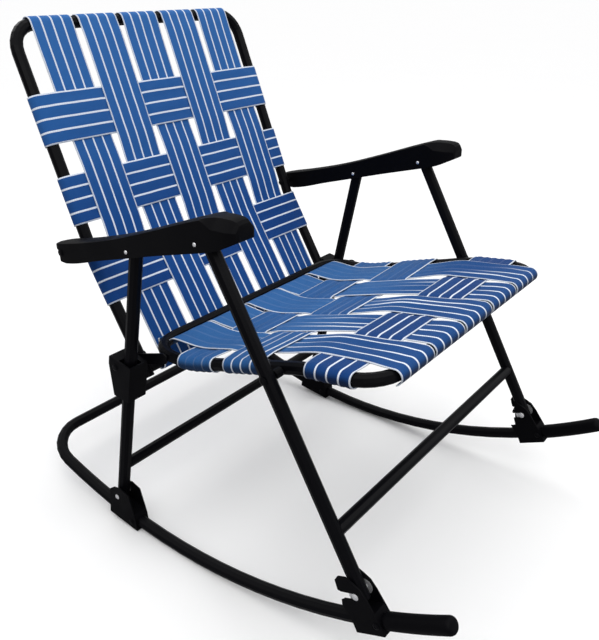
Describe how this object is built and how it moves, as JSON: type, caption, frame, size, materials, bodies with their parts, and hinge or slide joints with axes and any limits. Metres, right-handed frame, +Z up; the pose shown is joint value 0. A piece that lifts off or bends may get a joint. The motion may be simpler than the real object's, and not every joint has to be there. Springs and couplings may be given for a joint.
{
  "type": "folding rocking chair",
  "caption": "Folding camp rocking chair: bent steel tube rockers, legs and frames, moulded channel armrests, woven striped webbing seat and back.",
  "frame": {"origin": "on the floor, in the chair's middle plane, below the middle of its depth", "axes": "+Z up, -Y the way a sitter faces, +X the sitter's left"},
  "size_m": [0.6018, 0.8437, 0.8038],
  "materials": {
    "powder_coat": "satin",
    "black_plastic": "satin",
    "zinc_steel": "satin",
    "blue_webbing": "matte"
  },
  "bodies": {
    "rocker": {"rocker_tube": "powder_coat", "rocker_sleeve_left": "black_plastic", "rocker_sleeve_right": "black_plastic", "front_bracket_left": "black_plastic", "front_bracket_right": "black_plastic", "front_bracket_bolt_left": "powder_coat", "front_bracket_bolt_right": "powder_coat", "rear_bracket_left": "black_plastic", "rear_bracket_right": "black_plastic", "rear_bracket_bolt_left": "powder_coat", "rear_bracket_bolt_right": "powder_coat", "rear_foot_rivet_left": "zinc_steel", "rear_foot_rivet_right": "zinc_steel"},
    "rear_legs": {"rear_leg_left": "powder_coat", "rear_leg_right": "powder_coat", "rear_leg_cross_bar": "powder_coat"},
    "arm_left": {"armrest_left": "black_plastic", "arm_front_rivet_left": "zinc_steel", "arm_rear_rivet_left": "zinc_steel", "arm_back_bolt_left": "powder_coat"},
    "arm_right": {"armrest_right": "black_plastic", "arm_front_rivet_right": "zinc_steel", "arm_rear_rivet_right": "zinc_steel", "arm_back_bolt_right": "powder_coat"},
    "front_legs": {"front_leg_left": "powder_coat", "front_leg_right": "powder_coat", "front_hook_pin_left": "zinc_steel", "front_hook_pin_right": "zinc_steel", "front_leg_cross_bar": "powder_coat"},
    "back": {"back_frame": "powder_coat", "back_lower_bar": "powder_coat", "back_strap_long_1": "blue_webbing", "back_strap_long_2": "blue_webbing", "back_strap_long_3": "blue_webbing", "back_strap_long_4": "blue_webbing", "back_strap_long_5": "blue_webbing", "back_strap_cross_1": "blue_webbing", "back_strap_cross_2": "blue_webbing", "back_strap_cross_3": "blue_webbing"},
    "seat": {"seat_frame": "powder_coat", "seat_hinge_lug_left": "powder_coat", "seat_hinge_lug_right": "powder_coat", "seat_pivot_bolt_left": "powder_coat", "seat_pivot_bolt_right": "powder_coat", "seat_pivot_spacer_left": "black_plastic", "seat_pivot_spacer_right": "black_plastic", "hinge_pin_left": "powder_coat", "hinge_pin_right": "powder_coat", "seat_strap_long_1": "blue_webbing", "seat_strap_long_2": "blue_webbing", "seat_strap_long_3": "blue_webbing", "seat_strap_long_4": "blue_webbing", "seat_strap_long_5": "blue_webbing", "seat_strap_cross_1": "blue_webbing", "seat_strap_cross_2": "blue_webbing", "seat_strap_cross_3": "blue_webbing"},
    "slider_left": {"leg_slider_left": "black_plastic"},
    "slider_right": {"leg_slider_right": "black_plastic"}
  },
  "joints": [
    {"name": "armrest_left_fold", "type": "hinge", "parent": "rear_legs", "child": "arm_left", "pos_m": [0.275, 0.1028, 0.5195], "axis": [-1, 0, 0], "range_deg": [0, 24.54]},
    {"name": "armrest_right_fold", "type": "hinge", "parent": "rear_legs", "child": "arm_right", "pos_m": [-0.275, 0.1028, 0.5195], "axis": [-1, 0, 0], "range_deg": [0, 24.54]},
    {"name": "rear_leg_fold", "type": "hinge", "parent": "rocker", "child": "rear_legs", "pos_m": [0, 0.2025, 0.0541], "axis": [1, 0, 0], "range_deg": [0, 6.41]},
    {"name": "front_leg_fold", "type": "hinge", "parent": "arm_left", "child": "front_legs", "pos_m": [0.275, -0.0358, 0.5613], "axis": [1, 0, 0], "range_deg": [0, 39.51]},
    {"name": "back_fold", "type": "hinge", "parent": "arm_left", "child": "back", "pos_m": [0.275, 0.2575, 0.484], "axis": [1, 0, 0], "range_deg": [0, 39.51]},
    {"name": "seat_fold", "type": "hinge", "parent": "front_legs", "child": "seat", "pos_m": [0, -0.12976, 0.39616], "axis": [-1, 0, 0], "range_deg": [0, 39.51]},
    {"name": "slider_left_turn", "type": "hinge", "parent": "seat", "child": "slider_left", "pos_m": [0.274, 0.16354, 0.31886], "axis": [1, 0, 0], "range_deg": [0, 24.54]},
    {"name": "slider_right_turn", "type": "hinge", "parent": "seat", "child": "slider_right", "pos_m": [-0.274, 0.16354, 0.31886], "axis": [1, 0, 0], "range_deg": [0, 24.54]}
  ],
  "couplings": [
    {"joint": "armrest_right_fold", "follows": "armrest_left_fold", "ratio": 1},
    {"joint": "rear_leg_fold", "follows": "armrest_left_fold", "ratio": 0.2608},
    {"joint": "front_leg_fold", "follows": "armrest_left_fold", "ratio": 1.6096},
    {"joint": "back_fold", "follows": "armrest_left_fold", "ratio": 1.6096},
    {"joint": "seat_fold", "follows": "armrest_left_fold", "ratio": 1.6096},
    {"joint": "slider_left_turn", "follows": "armrest_left_fold", "ratio": 1},
    {"joint": "slider_right_turn", "follows": "armrest_left_fold", "ratio": 1}
  ]
}
